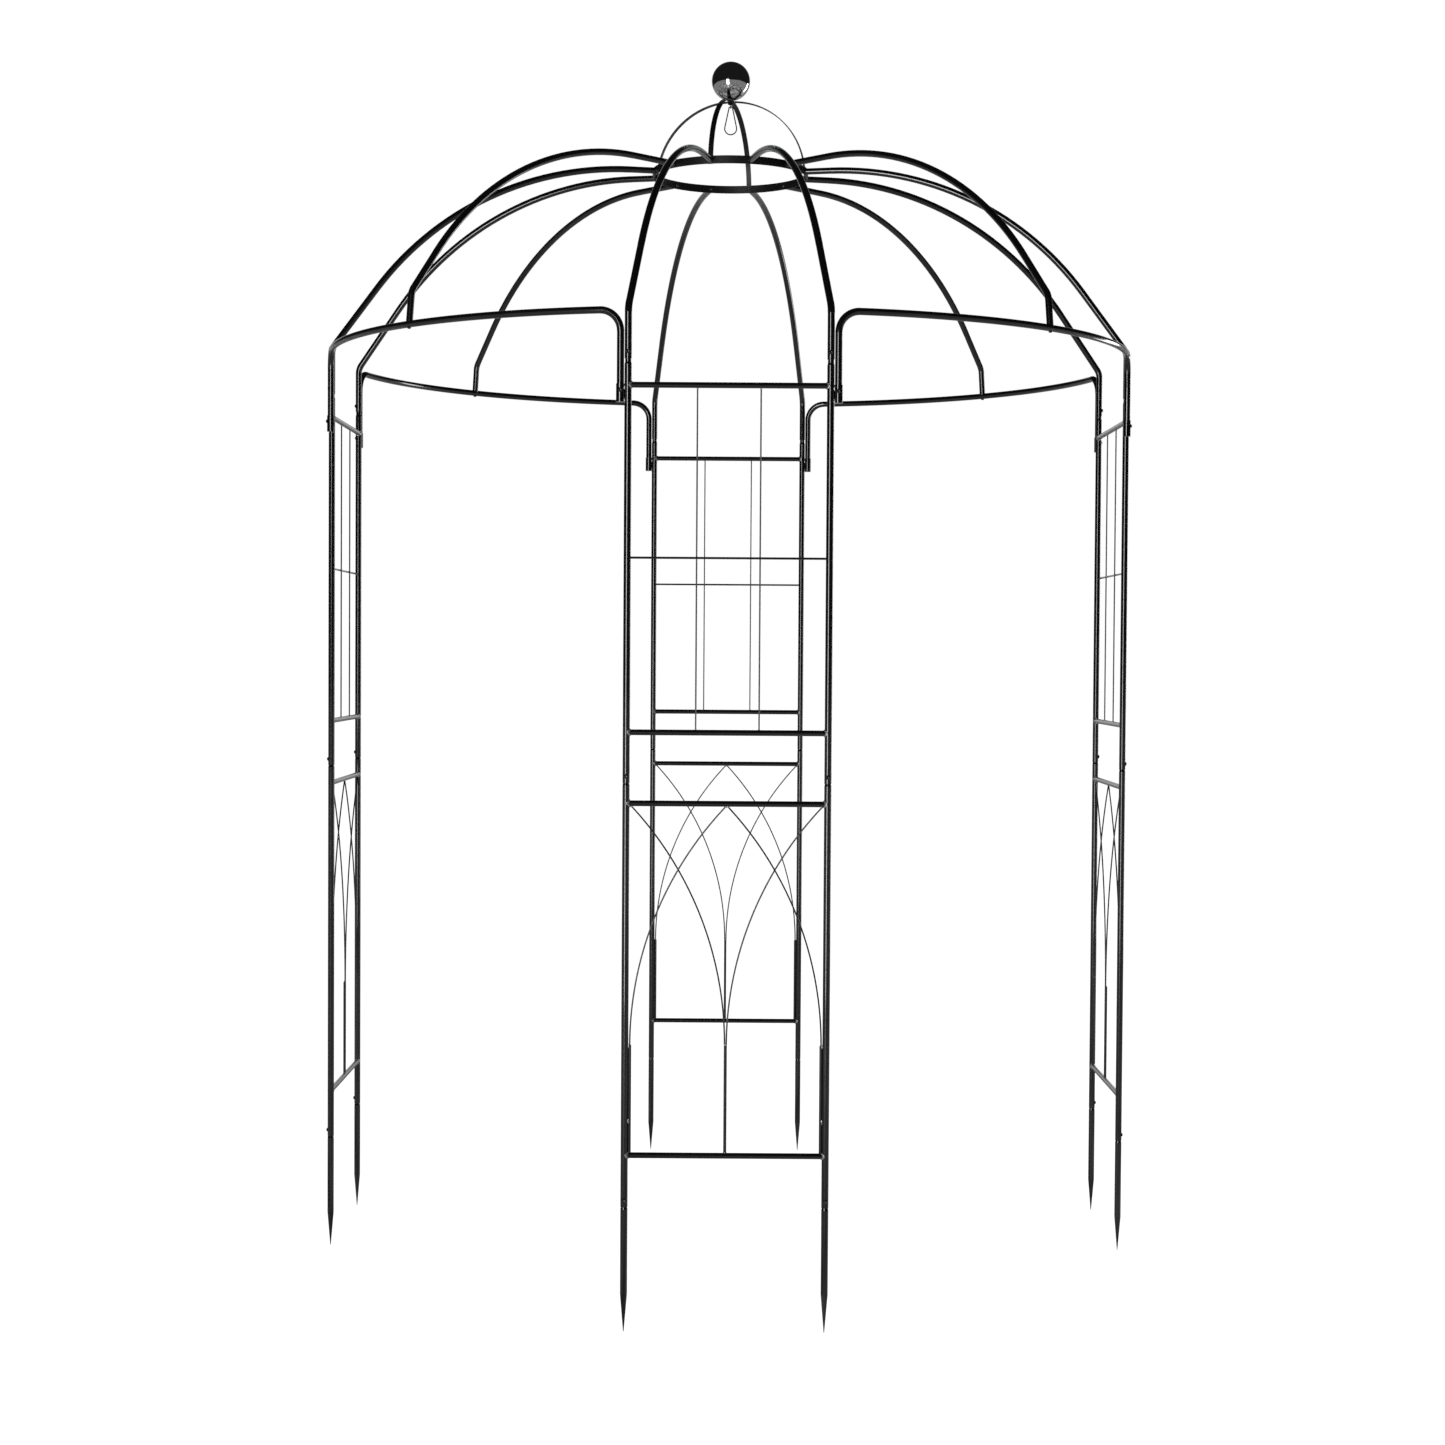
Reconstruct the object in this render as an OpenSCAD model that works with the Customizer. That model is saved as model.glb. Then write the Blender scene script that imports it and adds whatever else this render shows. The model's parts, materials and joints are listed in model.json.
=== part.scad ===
// Domed garden pavilion for climbing plants. Four ladder panels stand on ground spikes and carry
// four header arches, twelve dome ribs, a crown ring, two crossed hoops and a mirror ball.
// Millimetres, +Z up, z = 0 at the spike tips. The front panel faces -Y.

/* [Plan] */
// Distance from the centre of the pavilion to each panel
panel_r = 1000; // [820:10:1300]
// Width of a panel, between the centres of its two uprights
panel_w = 446; // [320:2:600]
// How far a header arch bulges outside the straight line between its feet
arch_sag = 168; // [120:2:260]

/* [Heights above the spike tips] */
// Joint between a spike and its lower panel
spike_joint_z = 279; // [220:1:340]
// Bottom rung of a lower panel
foot_rung_z = 394; // [360:1:450]
// Top of the three upright rods in a lower panel
rod_top_z = 640; // [560:1:760]
// Top rung of a lower panel
waist_rung_z = 1176; // [1000:1:1190]
// Joint between a lower and an upper panel
mid_joint_z = 1221; // [1205:1:1260]
// Bottom rung of an upper panel
sill_rung_z = 1333; // [1290:1:1400]
// Thin cross wire of an upper panel
cross_wire_z = 1718; // [1500:1:1900]
// Top rung of an upper panel
head_rung_z = 2098; // [2000:1:2115]
// Joint between an upper panel and the dome ribs
rib_joint_z = 2148; // [2130:1:2190]
// Middle of the header arch tubes
arch_z = 2263; // [2230:1:2320]
// Height at which the panel ribs lean inwards
rib_kink_z = 2271; // [2250:1:2330]
// Height at which the mid ribs lean inwards
mid_kink_z = 2340; // [2325:1:2380]

/* [Tubes and wires] */
// Outer diameter of the frame tube
tube_d = 16; // [14:0.5:22]
// Wall of the frame tube
tube_wall = 1; // [0.8:0.1:1.5]
// Outer diameter of the rung tube
rung_d = 13; // [10:0.5:14]
// Diameter of the upright rods in a lower panel
rod_d = 7; // [5:0.5:9]
// Diameter of the curved and upright wires
wire_d = 3.5; // [2.5:0.5:4]
// Diameter of the thin cross wire
cross_wire_d = 5; // [3:0.5:6]
// Distance of the two upright wires from the middle of a panel
wire_x = 70; // [40:1:110]

/* [Plug-in joints] */
// Length of the reduced tube end that goes into the next tube
spigot_l = 40; // [30:1:50]
// Depth that rungs, rods, wires and sockets sink into what they are welded to
weld = 0.5; // [0.3:0.1:0.8]
// Radial clearance between the reduced end and the tube around it
spigot_fit = 0.2; // [0.1:0.05:0.4]
// Length of the taper between the full tube and its reduced end
shoulder_l = 5; // [3:0.5:8]
// Part of the reduced end left showing under a panel rib
rib_neck = 8; // [2:0.5:10]
// Height of a joint screw above the end of the tube it holds
screw_rise = 15; // [12:0.5:22]
// Wall of the socket that an arch leg stands in
socket_wall = 1.3; // [1:0.1:3]
// Length of that socket
socket_l = 40; // [34:1:60]
// How far its mouth stands above the middle of the top rung
socket_over = 2; // [0:0.5:8]
// Height of the closed floor in that socket
socket_floor = 4; // [3:0.5:6]
// Depth of the arch screw below the mouth of the socket
socket_screw_drop = 14; // [10:0.5:20]
// Length of the conical point of a spike
point_l = 85; // [60:1:120]
// Radius of the blunt end of that point
point_r = 0.8; // [0.5:0.1:2]

/* [Screws and bolts] */
// Diameter of the joint screws
screw_d = 5; // [4:0.5:6]
// Length of the joint screws under the head
screw_l = 10; // [7:0.5:12]
// Diameter of the crown and foot bolts
bolt_d = 6; // [5:0.5:8]
// Radial clearance of a screw or bolt in a plain hole
hole_fit = 0.3; // [0.2:0.05:0.5]
// Radial clearance of a screw or bolt in its thread
thread_fit = 0.05; // [0.02:0.01:0.1]
// Diameter of the domed heads
head_d = 10; // [9:0.5:12]
// Height of the domed heads
head_h = 3.4; // [2.5:0.1:4]
// Length of the threaded plug welded into a tube end
plug_l = 14; // [10:1:20]

/* [Header arches] */
// Bend radius of an arch corner, at the middle of the tube
arch_corner_r = 48; // [36:1:70]

/* [Ribs] */
// Lean of the ribs above the kink, from the vertical
rib_lean = 36; // [30:1:44]
// Straight length between the kink and the long curve of a panel rib
rib_straight = 190; // [120:1:220]
// Straight length between the kink and the long curve of a mid rib
mid_straight = 120; // [90:1:180]
// Lean of a mid rib's foot, from the vertical
foot_lean = 5; // [0:0.5:8]
// Bend radius of the kink, at the middle of the tube
kink_r = 40; // [30:1:60]
// Straight level end of a panel rib, up to the crown ring
rib_tail = 64; // [30:1:100]
// Angle at the crown between a panel's middle line and each of its ribs
rib_fan = 14.75; // [10:0.25:20]

/* [Crown] */
// Outer diameter of the crown ring
ring_d = 405; // [340:1:480]
// Height of the band that the ring is made of
ring_h = 20; // [16:1:26]
// Thickness of that band
ring_t = 3; // [2:0.5:4]
// Width of the strip that the hoops are made of
hoop_w = 13; // [12:0.5:18]
// Thickness of that strip
hoop_t = 2.5; // [2:0.25:3]
// Gap between a hoop and the ring, and between the two hoops where they cross
hoop_gap = 0.15; // [0.12:0.01:0.3]

/* [Ball and hanging loop] */
// Diameter of the mirror ball
ball_d = 100; // [70:1:140]
// Wall of the ball
ball_wall = 1; // [0.8:0.1:2]
// Diameter of the threaded boss in the ball
boss_d = 18; // [14:0.5:24]
// Height of that boss
boss_h = 14; // [10:1:20]
// Diameter of the stud that holds the ball on the hoops
stud_d = 8; // [7:0.5:10]
// Size of the stud's nut across its flats
nut_af = 13; // [12:0.5:17]
// Height of that nut
nut_h = 5; // [4:0.5:9]
// Part of the stud's thread that shows under the nut
stud_out = 1; // [0.5:0.5:4]
// Thickness of the flat eye at the lower end of the stud
eye_t = 3; // [2.5:0.25:3.5]
// Drop from the end of the thread to the middle of the eye
eye_drop = 5; // [4.5:0.5:8]
// Diameter of the loop's wire
loop_wire_d = 3; // [2.5:0.25:3.25]
// Radial clearance of the loop's wire in the eye
loop_fit = 0.35; // [0.3:0.05:0.6]
// Outer width of the loop
loop_w = 34; // [28:1:44]
// Radius of the loop's two small bends beside the eye, at the middle of the wire
loop_bend_r = 2.6; // [2.2:0.1:4]
// Spread of each side of the loop, from the vertical
loop_spread = 12; // [10:0.5:14]

/* [Hidden] */
$fn = 64;
SIDES = ["front", "right", "back", "left"];
HANDS = ["left", "right"];
FRAME = "#1b1b1d"; // black powder coat
POLISHED = "#c9ccd0"; // mirror-polished stainless steel
ZINC = "#3a3a3d"; // darkened zinc on the small parts of the crown

eps = 1; // how far a cutting shape runs past what it cuts
lap = 0.1; // how far a straight runs into the bends beside it
swell = 1.02; // how much fuller a bend is than the straights, so that every lap is clean
tube_r = tube_d / 2;
bore_r = tube_r - tube_wall;
spigot_r = bore_r - spigot_fit;
rung_r = rung_d / 2;
socket_d = tube_d + 2 * (spigot_fit + socket_wall);
wire_r = wire_d / 2;
upright_x = panel_w / 2;
plain_hole_r = screw_d / 2 + hole_fit;
bolt_hole_r = bolt_d / 2 + hole_fit;
thread_r = bolt_d / 2 + thread_fit;

// Arch: its legs stand beside the uprights, and its curve is one arc seen from above
leg_x = upright_x + tube_r + socket_d / 2 - weld;
socket_top_z = head_rung_z + socket_over;
leg_foot_z = socket_top_z - socket_l + socket_floor;
arch_screw_z = socket_top_z - socket_screw_drop;
chord_half = (panel_r - leg_x) / sqrt(2);
chord_mid_r = (panel_r + leg_x) / sqrt(2);
arch_r = (pow(chord_half, 2) + pow(arch_sag, 2) - pow(arch_corner_r, 2)) / (2 * arch_sag);
arch_mid_r = chord_mid_r + arch_sag;
// half the arc's angle: the leg to centre line, less the part that the corner bend takes up
arch_half = atan2(chord_half, arch_r - arch_sag) - atan2(arch_corner_r, arch_r);

// Ribs: kink, straight and long curve end level; the panel ribs set the curve's radius
ring_r = ring_d / 2;
fan_end = [ring_r * sin(rib_fan), panel_r - ring_r * cos(rib_fan)];
fan_reach = norm(fan_end - [upright_x, 0]);
rib_yaw = atan2(upright_x - fan_end.x, fan_end.y);
rib_curve_r = (fan_reach - rib_straight * sin(rib_lean) - rib_tail) / cos(rib_lean);
ring_z = rib_kink_z + rib_straight * cos(rib_lean) + rib_curve_r * (1 - sin(rib_lean));
kink_tangent = kink_r * tan(rib_lean / 2);
foot_rise = mid_kink_z - arch_z;
foot_tangent = kink_r * tan((rib_lean - foot_lean) / 2);
mid_reach = arch_mid_r - ring_r;
mid_curve_r = (ring_z - mid_kink_z - mid_straight * cos(rib_lean)) / (1 - sin(rib_lean));
mid_tail = mid_reach - foot_rise * tan(foot_lean) - mid_straight * sin(rib_lean)
    - mid_curve_r * cos(rib_lean);
CROWN_ANGLES = [for (k = [0:3], a = [-rib_fan, rib_fan, 45]) -90 + 90 * k + a];

// Crown: the hoops are half circles that start at the ring's lower edge
ring_bore_r = ring_r - ring_t;
hoop_r = ring_bore_r - hoop_gap;
hoop_base_z = ring_z - ring_h / 2;
hoop_lift = hoop_t + hoop_gap;
hoop_bore_r = hoop_r - hoop_t;
crossing_z = hoop_base_z + hoop_r + hoop_lift;
hoop_under_z = hoop_base_z + hoop_bore_r;
ball_z = crossing_z + ball_d / 2;
nut_corner_r = nut_af / sqrt(3);
nut_top_z = hoop_under_z - hoop_bore_r + sqrt(pow(hoop_bore_r, 2) - pow(nut_corner_r, 2));
thread_end_z = nut_top_z - nut_h - stud_out;
eye_z = thread_end_z - eye_drop;
loop_top_half = eye_t / 2 + loop_fit;
loop_round_r = (loop_w - loop_wire_d) / 2;
loop_side = ((loop_round_r - loop_bend_r) * cos(loop_spread) - loop_top_half) / sin(loop_spread);

// ---------- shared shapes ----------

// Places children on panel k: x runs along the panel, -y points outwards
module on_panel(k) rotate(90 * k) translate([0, -panel_r, 0]) children();

// Upright tube whose top is reduced to fit inside the next tube
module spigot_tube(z0, z1) {
    rotate_extrude()
        polygon([[bore_r, z0], [tube_r, z0], [tube_r, z1 - shoulder_l], [spigot_r, z1],
                 [spigot_r, z1 + spigot_l], [spigot_r - tube_wall, z1 + spigot_l],
                 [spigot_r - tube_wall, z1], [bore_r, z1 - shoulder_l]]);
}

// Rod of one straight or bend after another: a step is [length] or [bend radius, angle]
module rod_run(steps, r, closed = false, i = 0) {
    if (i < len(steps)) {
        step = steps[i];
        if (len(step) == 1) {
            below = i > 0 || closed ? lap : 0;
            above = i < len(steps) - 1 || closed ? lap : 0;
            translate([0, 0, -below]) cylinder(r = r, h = step[0] + below + above);
            translate([0, 0, step[0]]) rod_run(steps, r, closed, i + 1);
        } else {
            turn = step[1];
            translate([step[0], 0, 0]) rotate([90, 0, 0]) rotate(180 - turn)
                arc_of_rod(step[0], turn, swell * r);
            translate([step[0] * (1 - cos(turn)), 0, step[0] * sin(turn)])
                rotate([0, turn, 0]) rod_run(steps, r, closed, i + 1);
        }
    }
}

module arc_of_rod(bend_r, turn, r)
    rotate_extrude(angle = turn, $fn = bend_r > 100 ? 180 : 64) translate([bend_r, 0]) circle(r, $fn = 64);

// Tube along such a run, solid at its ends for the given lengths
module tube_run(steps, solid_foot = -eps, solid_end = -eps) {
    last = len(steps) - 1;
    difference() {
        rod_run(steps, tube_r);
        translate([0, 0, solid_foot])
            rod_run([for (i = [0:last]) len(steps[i]) > 1 ? steps[i]
                : [steps[i][0] - (i == 0 ? solid_foot : 0) - (i == last ? solid_end : 0)]], bore_r);
    }
}

module section(r, bore) {
    difference() {
        circle(r);
        circle(bore);
    }
}

// Cylinder from the origin outwards, along -y, as a screw hole
module outward_hole(r) rotate([90, 0, 0]) cylinder(r = r, h = tube_d + eps);

// Domed head on +z with its shank down -z
module dome_screw(d, shank) {
    cap_r = (pow(head_d / 2, 2) + pow(head_h, 2)) / (2 * head_h);
    difference() {
        translate([0, 0, head_h - cap_r]) sphere(cap_r);
        translate([-2 * cap_r, -2 * cap_r, -2 * cap_r]) cube([4 * cap_r, 4 * cap_r, 2 * cap_r]);
    }
    translate([0, 0, -shank]) cylinder(d = d, h = shank + head_h / 2);
}

// Joint screw through the outer face of a tube whose axis is at the origin
module tube_screw(r) translate([0, -r, 0]) rotate([90, 0, 0]) dome_screw(screw_d, screw_l);

// The two uprights of a panel as cutters, so that rungs and wires end inside their walls
module upright_cutters(z, h)
    for (s = [-1, 1]) translate([s * upright_x, 0, z - h / 2]) cylinder(r = tube_r - weld, h = h);

module rung(z) {
    difference() {
        translate([-upright_x, 0, z]) rotate([0, 90, 0])
            linear_extrude(panel_w) section(rung_r, rung_r - tube_wall);
        upright_cutters(z, 2 * tube_d);
    }
}

// Rod or wire standing between two heights, cut to the rungs there
module upright_rod(x, y, d, z0, z1, top_rung = true) {
    difference() {
        translate([x, y, z0]) cylinder(d = d, h = z1 - z0);
        for (z = top_rung ? [z0, z1] : [z0])
            translate([x - d, 0, z]) rotate([0, 90, 0]) cylinder(r = rung_r - weld, h = 2 * d);
    }
}

// Curved wire: starts upright at [x0, rod_top_z] and meets the rung's underside at x1
module curved_wire(x0, x1, y) {
    run = abs(x1 - x0);
    rise = waist_rung_z - rung_r - rod_top_z;
    bend_r = (run * run + rise * rise) / (2 * run);
    turn = asin((rise + rung_r) / bend_r); // goes on to the rung's middle, where the rung cuts it off
    difference() {
        translate([x0, y, rod_top_z]) mirror([x1 < x0 ? 1 : 0, 0, 0]) rod_run([[bend_r, turn]], wire_r);
        translate([-upright_x, 0, waist_rung_z]) rotate([0, 90, 0])
            cylinder(r = rung_r - weld, h = panel_w);
    }
}

// ---------- sub-parts ----------

module lower_panel(k) {
    rod_x = upright_x - tube_r - rod_d / 2 + weld;
    corner_x = upright_x - tube_r - 1.2 * wire_d;
    layer_y = 0.35 * wire_d; // the two layers of wires sink into each other where they cross
    color(FRAME) on_panel(k) {
        for (s = [-1, 1]) translate([s * upright_x, 0, 0]) difference() {
            spigot_tube(spike_joint_z, mid_joint_z);
            for (z = [spike_joint_z, mid_joint_z])
                translate([0, 0, z + screw_rise]) outward_hole(plain_hole_r);
        }
        for (z = [foot_rung_z, waist_rung_z]) rung(z);
        for (x = [-rod_x, 0, rod_x]) upright_rod(x, 0, rod_d, foot_rung_z, rod_top_z, false);
        for (s = [-1, 1]) {
            curved_wire(s * rod_x, s * 0.75 * wire_d, -layer_y);
            curved_wire(s * 0.55 * wire_d, s * corner_x, layer_y);
        }
    }
}

module upper_panel(k) {
    color(FRAME) on_panel(k) {
        for (s = [-1, 1]) {
            translate([s * upright_x, 0, 0]) difference() {
                spigot_tube(mid_joint_z, rib_joint_z);
                for (z = [mid_joint_z, rib_joint_z + rib_neck])
                    translate([0, 0, z + screw_rise]) outward_hole(plain_hole_r);
            }
            upright_rod(s * wire_x, 0, wire_d, sill_rung_z, head_rung_z);
            translate([s * leg_x, 0, socket_top_z - socket_l]) arch_socket();
        }
        for (z = [sill_rung_z, head_rung_z]) rung(z);
        difference() {
            translate([-upright_x, weld - (wire_d + cross_wire_d) / 2, cross_wire_z])
                rotate([0, 90, 0]) cylinder(d = cross_wire_d, h = panel_w);
            upright_cutters(cross_wire_z, 2 * tube_d);
        }
    }
}

// Short cup welded to an upright, with a floor that the arch leg stands on
module arch_socket() {
    difference() {
        cylinder(d = socket_d, h = socket_l);
        translate([0, 0, socket_floor]) cylinder(r = tube_r + spigot_fit, h = socket_l);
        translate([0, 0, arch_screw_z - socket_top_z + socket_l]) outward_hole(plain_hole_r);
    }
}

module spike(k, s) {
    wall_slope = tube_wall * (point_l / (tube_r - point_r));
    color(FRAME) on_panel(k) translate([s * upright_x, 0, 0]) difference() {
        rotate_extrude()
            polygon([[0, 0], [point_r, 0], [tube_r, point_l], [tube_r, spike_joint_z - shoulder_l],
                     [spigot_r, spike_joint_z], [spigot_r, spike_joint_z + spigot_l],
                     [spigot_r - tube_wall, spike_joint_z + spigot_l],
                     [spigot_r - tube_wall, spike_joint_z], [bore_r, spike_joint_z - shoulder_l],
                     [bore_r, point_l], [0, 2 * wall_slope]]);
        translate([0, 0, spike_joint_z + screw_rise]) outward_hole(plain_hole_r);
    }
}

// One tube: a leg, a corner, the long arc seen from above, a corner and a leg
module header_arch(k) {
    color(FRAME) rotate(90 * k - 45) difference() {
        arch_run(tube_r, 0);
        arch_run(bore_r, eps);
        for (s = [-1, 1]) translate([chord_mid_r, s * chord_half, arch_screw_z])
            rotate(90 + 45 * s) outward_hole(plain_hole_r);
        at_foot() translate([0, 0, -tube_d]) cylinder(r = bolt_hole_r, h = 2 * tube_d);
    }
}

// Solid rod along the whole arch; past is how far it runs beyond the ends of the legs
module arch_run(r, past) {
    leg_l = arch_z - arch_corner_r - leg_foot_z;
    lap_turn = lap / arch_r * 180 / PI;
    translate([arch_mid_r - arch_r, 0, arch_z]) rotate(-arch_half - lap_turn)
        arc_of_rod(arch_r, 2 * (arch_half + lap_turn), r);
    for (s = [-1, 1]) translate([chord_mid_r, s * chord_half, leg_foot_z - past])
        rotate(s * (arch_half - 90)) rod_run([[leg_l + past], [arch_corner_r, 90]], r);
}

// Places children on a mid rib's foot: the origin in the middle of the arch tube, +z up the foot, +x inwards
module at_foot() translate([arch_mid_r, 0, arch_z]) rotate(180) rotate([0, foot_lean, 0]) children();

// Cuts a rib's end to the ring and drills it for the crown bolt
module crown_cut(angle) {
    translate([0, 0, ring_z - tube_d]) cylinder(r = ring_r, h = 2 * tube_d);
    rotate(angle) translate([ring_r - eps, 0, ring_z]) rotate([0, 90, 0])
        cylinder(r = thread_r, h = plug_l + 2 * eps);
}

module panel_rib(k, s) {
    foot_z = rib_joint_z + rib_neck;
    color(FRAME) difference() {
        on_panel(k) difference() {
            translate([s * upright_x, 0, foot_z]) rotate(90 + s * rib_yaw)
                tube_run([[rib_kink_z - foot_z - kink_tangent], [kink_r, rib_lean],
                          [rib_straight - kink_tangent], [rib_curve_r, 90 - rib_lean],
                          [rib_tail + eps]], -eps, plug_l + eps);
            translate([s * upright_x, 0, foot_z + screw_rise]) outward_hole(plain_hole_r);
        }
        crown_cut(90 * k - 90 + s * rib_fan);
    }
}

module mid_rib(k) {
    color(FRAME) rotate(90 * k - 45) difference() {
        at_foot()
            tube_run([[foot_rise / cos(foot_lean) - foot_tangent], [kink_r, rib_lean - foot_lean],
                      [mid_straight - foot_tangent], [mid_curve_r, 90 - rib_lean], [mid_tail + eps]],
                     tube_r + plug_l, plug_l + eps);
        translate([arch_mid_r, tube_d, arch_z]) rotate([90, 0, 0])
            cylinder(r = tube_r + thread_fit, h = 2 * tube_d);
        at_foot() cylinder(r = thread_r, h = tube_r + plug_l + eps);
        crown_cut(0);
    }
}

module crown_ring() {
    color(FRAME) difference() {
        translate([0, 0, ring_z - ring_h / 2]) linear_extrude(ring_h) section(ring_r, ring_bore_r);
        for (a = CROWN_ANGLES) crown_hole(a);
    }
}

module crown_hole(angle)
    rotate(angle) translate([0, 0, ring_z]) rotate([0, 90, 0]) cylinder(r = bolt_hole_r, h = ring_r + eps);

// Half circle of strip standing on straight feet of the given height
module hoop(angle, feet) {
    color(FRAME) difference() {
        rotate(angle) translate([0, 0, hoop_base_z]) {
            translate([0, 0, feet]) rotate([90, 0, 0]) rotate_extrude(angle = 180)
                translate([hoop_bore_r, -hoop_w / 2]) square([hoop_t, hoop_w]);
            if (feet > 0) for (x = [-hoop_r, hoop_bore_r])
                translate([x, -hoop_w / 2, 0]) cube([hoop_t, hoop_w, feet]);
        }
        for (a = [0, 180]) crown_hole(angle + a);
        translate([0, 0, ring_z]) cylinder(r = stud_d / 2 + hole_fit, h = 2 * hoop_r);
    }
}

module mirror_ball() {
    color(POLISHED) difference() {
        translate([0, 0, ball_z]) union() {
            difference() {
                sphere(d = ball_d);
                sphere(d = ball_d - 2 * ball_wall);
            }
            intersection() {
                sphere(d = ball_d - ball_wall);
                translate([0, 0, -ball_d / 2]) cylinder(d = boss_d, h = boss_h);
            }
        }
        translate([0, 0, crossing_z - eps]) cylinder(r = stud_d / 2 + thread_fit, h = boss_h + 2 * eps);
    }
}

// Threaded stud with a flat eye at its lower end
module ball_stud() {
    color(ZINC) difference() {
        union() {
            translate([0, 0, thread_end_z]) cylinder(d = stud_d, h = crossing_z + boss_h - thread_end_z);
            translate([-eye_t / 2, -stud_d / 2, eye_z]) cube([eye_t, stud_d, eye_drop]);
            translate([-eye_t / 2, 0, eye_z]) rotate([0, 90, 0]) cylinder(d = stud_d, h = eye_t);
        }
        translate([-stud_d, 0, eye_z]) rotate([0, 90, 0])
            cylinder(r = loop_wire_d / 2 + loop_fit, h = 2 * stud_d);
    }
}

module ball_nut() {
    color(ZINC) translate([0, 0, nut_top_z - nut_h]) difference() {
        cylinder(r = nut_corner_r, h = nut_h, $fn = 6);
        translate([0, 0, -eps]) cylinder(r = stud_d / 2 + thread_fit, h = nut_h + 2 * eps);
    }
}

// Closed wire teardrop: straight through the eye, a small bend, a side, the round and back
module hanging_loop() {
    color(ZINC) translate([-loop_top_half, 0, eye_z]) rotate([0, 90, 0])
        rod_run([[2 * loop_top_half], [loop_bend_r, 90 - loop_spread], [loop_side],
                 [loop_round_r, 180 + 2 * loop_spread], [loop_side], [loop_bend_r, 90 - loop_spread]],
                loop_wire_d / 2, true);
}

// A screw at the same height in every upright
module upright_screws(z)
    color(FRAME) for (k = [0:3], s = [-1, 1]) on_panel(k) translate([s * upright_x, 0, z])
        tube_screw(tube_r);

module arch_screws()
    color(FRAME) for (k = [0:3], s = [-1, 1]) on_panel(k) translate([s * leg_x, 0, arch_screw_z])
        tube_screw(socket_d / 2);

// Bolts from inside the ring into the rib ends; four of them also hold the feet of the hoops
module crown_bolts() {
    head_r = head_d / 2;
    ring_seat = sqrt(pow(ring_bore_r, 2) - pow(head_r, 2));
    hoop_seat = sqrt(pow(hoop_bore_r, 2) - pow(ring_h / 2 + head_r, 2));
    color(FRAME) for (i = [0:11]) {
        seat = i % 3 == 0 ? hoop_seat : ring_seat;
        rotate(CROWN_ANGLES[i]) translate([seat, 0, ring_z]) rotate([0, -90, 0])
            dome_screw(bolt_d, ring_r - seat + plug_l - 2);
    }
}

// Bolts from under the arches into the feet of the mid ribs
module arch_bolts()
    color(FRAME) for (k = [0:3]) rotate(90 * k - 45) at_foot() translate([0, 0, -tube_r])
        rotate([180, 0, 0]) dome_screw(bolt_d, tube_d + plug_l - 2);

// ---------- nodes ----------

for (k = [0:3]) {
    next = SIDES[(k + 1) % 4];
    lower_panel(k);
    upper_panel(k);
    header_arch(k);
    mid_rib(k);
    for (h = [0, 1]) {
        spike(k, 2 * h - 1);
        panel_rib(k, 2 * h - 1);
    }
}
crown_ring();
hoop(-rib_fan, 0);  // hoop_lower
hoop(90 - rib_fan, hoop_lift);  // hoop_upper
mirror_ball();
ball_stud();
ball_nut();
hanging_loop();
upright_screws(spike_joint_z + screw_rise);  // spike_screws
upright_screws(mid_joint_z + screw_rise);  // panel_screws
upright_screws(rib_joint_z + rib_neck + screw_rise);  // rib_screws
arch_screws();
crown_bolts();
arch_bolts();
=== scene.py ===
# %% [markdown]
# A domed garden pavilion of black steel tube, finished as it leaves the workshop.
#
# The pavilion is four ladder panels on ground spikes, four header arches, twelve dome ribs, a crown
# ring, two crossed hoops and a mirror ball with a wire loop under it. The engineering model already
# holds every tube and bolt at its true size, so it is loaded first and never moved. What is added here
# is what a workshop adds: weld beads, screw heads with a hex socket, a polished ball, and the coats of
# paint and zinc.

# %% Load the fixed frame
import json
import math

import bmesh
import bpy
from mathutils import Matrix, Vector, noise


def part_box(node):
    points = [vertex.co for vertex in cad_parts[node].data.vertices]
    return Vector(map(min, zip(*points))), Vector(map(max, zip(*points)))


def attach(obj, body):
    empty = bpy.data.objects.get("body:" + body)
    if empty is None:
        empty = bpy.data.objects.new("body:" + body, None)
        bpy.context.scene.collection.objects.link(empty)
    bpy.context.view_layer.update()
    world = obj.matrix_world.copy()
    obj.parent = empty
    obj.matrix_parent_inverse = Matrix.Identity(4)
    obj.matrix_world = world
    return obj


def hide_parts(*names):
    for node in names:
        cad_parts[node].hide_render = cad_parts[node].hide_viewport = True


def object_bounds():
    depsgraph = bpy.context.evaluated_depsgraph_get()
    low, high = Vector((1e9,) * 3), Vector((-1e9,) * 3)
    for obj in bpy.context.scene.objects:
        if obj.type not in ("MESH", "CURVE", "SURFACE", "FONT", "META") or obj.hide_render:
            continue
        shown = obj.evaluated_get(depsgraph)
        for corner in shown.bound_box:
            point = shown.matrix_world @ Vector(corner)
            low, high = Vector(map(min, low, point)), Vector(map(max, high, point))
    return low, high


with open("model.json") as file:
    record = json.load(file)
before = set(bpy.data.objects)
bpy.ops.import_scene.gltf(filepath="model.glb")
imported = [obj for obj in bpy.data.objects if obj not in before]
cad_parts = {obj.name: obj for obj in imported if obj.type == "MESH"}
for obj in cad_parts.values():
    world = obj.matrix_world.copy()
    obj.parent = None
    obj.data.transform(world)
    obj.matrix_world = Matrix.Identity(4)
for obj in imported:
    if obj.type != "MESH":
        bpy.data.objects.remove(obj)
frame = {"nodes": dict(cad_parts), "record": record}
cad_low, cad_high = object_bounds()
nodes = frame["nodes"]
print("pavilion:", len(nodes), "nodes,", tuple(round(v, 3) for v in cad_high - cad_low), "m")

# %% [markdown]
# ## The camera
# From far away a long lens would flatten the dome. This camera stands about six metres from the centre
# at chest height and looks almost level, so the ribs nearest to it rise above the crown ring.

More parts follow.
